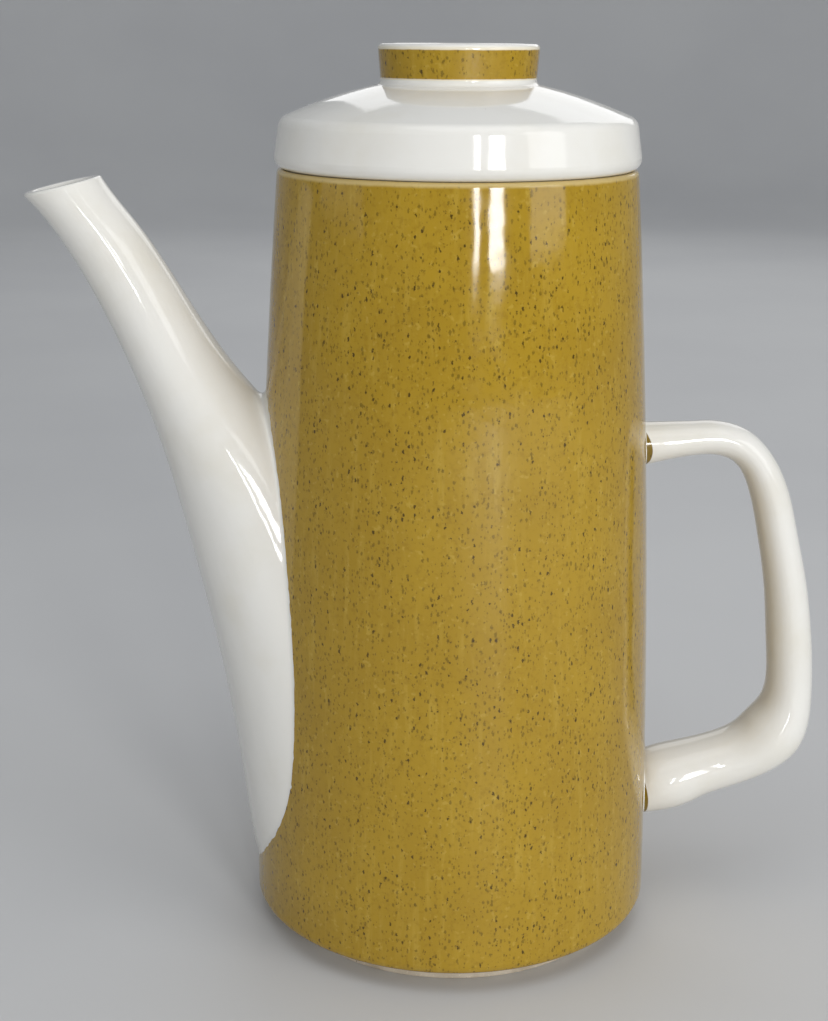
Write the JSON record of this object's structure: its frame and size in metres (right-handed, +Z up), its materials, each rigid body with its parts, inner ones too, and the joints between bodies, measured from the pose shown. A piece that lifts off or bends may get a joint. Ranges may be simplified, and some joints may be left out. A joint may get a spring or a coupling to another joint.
{
  "type": "coffee pot",
  "caption": "Tall tapering ceramic coffee pot with a horn-shaped spout, a squared loop handle and a lift-off domed lid with a drum knob.",
  "frame": {"origin": "middle of the foot ring's underside, on the pot's axis, where the pot meets the table", "axes": "+Z up along the pot's axis, +X towards the handle, -X towards the spout, +Y to the side"},
  "size_m": [0.2396, 0.1236, 0.268],
  "materials": {
    "ochre_glaze": "glossy ochre glaze with fine dark brown speckles",
    "white_glaze": "glossy warm white glaze",
    "knob_glaze": "glossy speckled ochre band under a warm white top",
    "bare_clay": "pale bare clay, matt"
  },
  "bodies": {
    "pot": {"pot_body": "ochre_glaze", "foot_ring": "bare_clay", "spout": "white_glaze", "handle": "white_glaze"},
    "lid": {"lid_cover": "white_glaze", "lid_flange": "white_glaze", "lid_knob": "knob_glaze"}
  },
  "joints": [
    {"name": "lid_lift", "type": "slide", "parent": "pot", "child": "lid", "axis": [0, 0, 1], "range_m": [0, 0.1]}
  ]
}
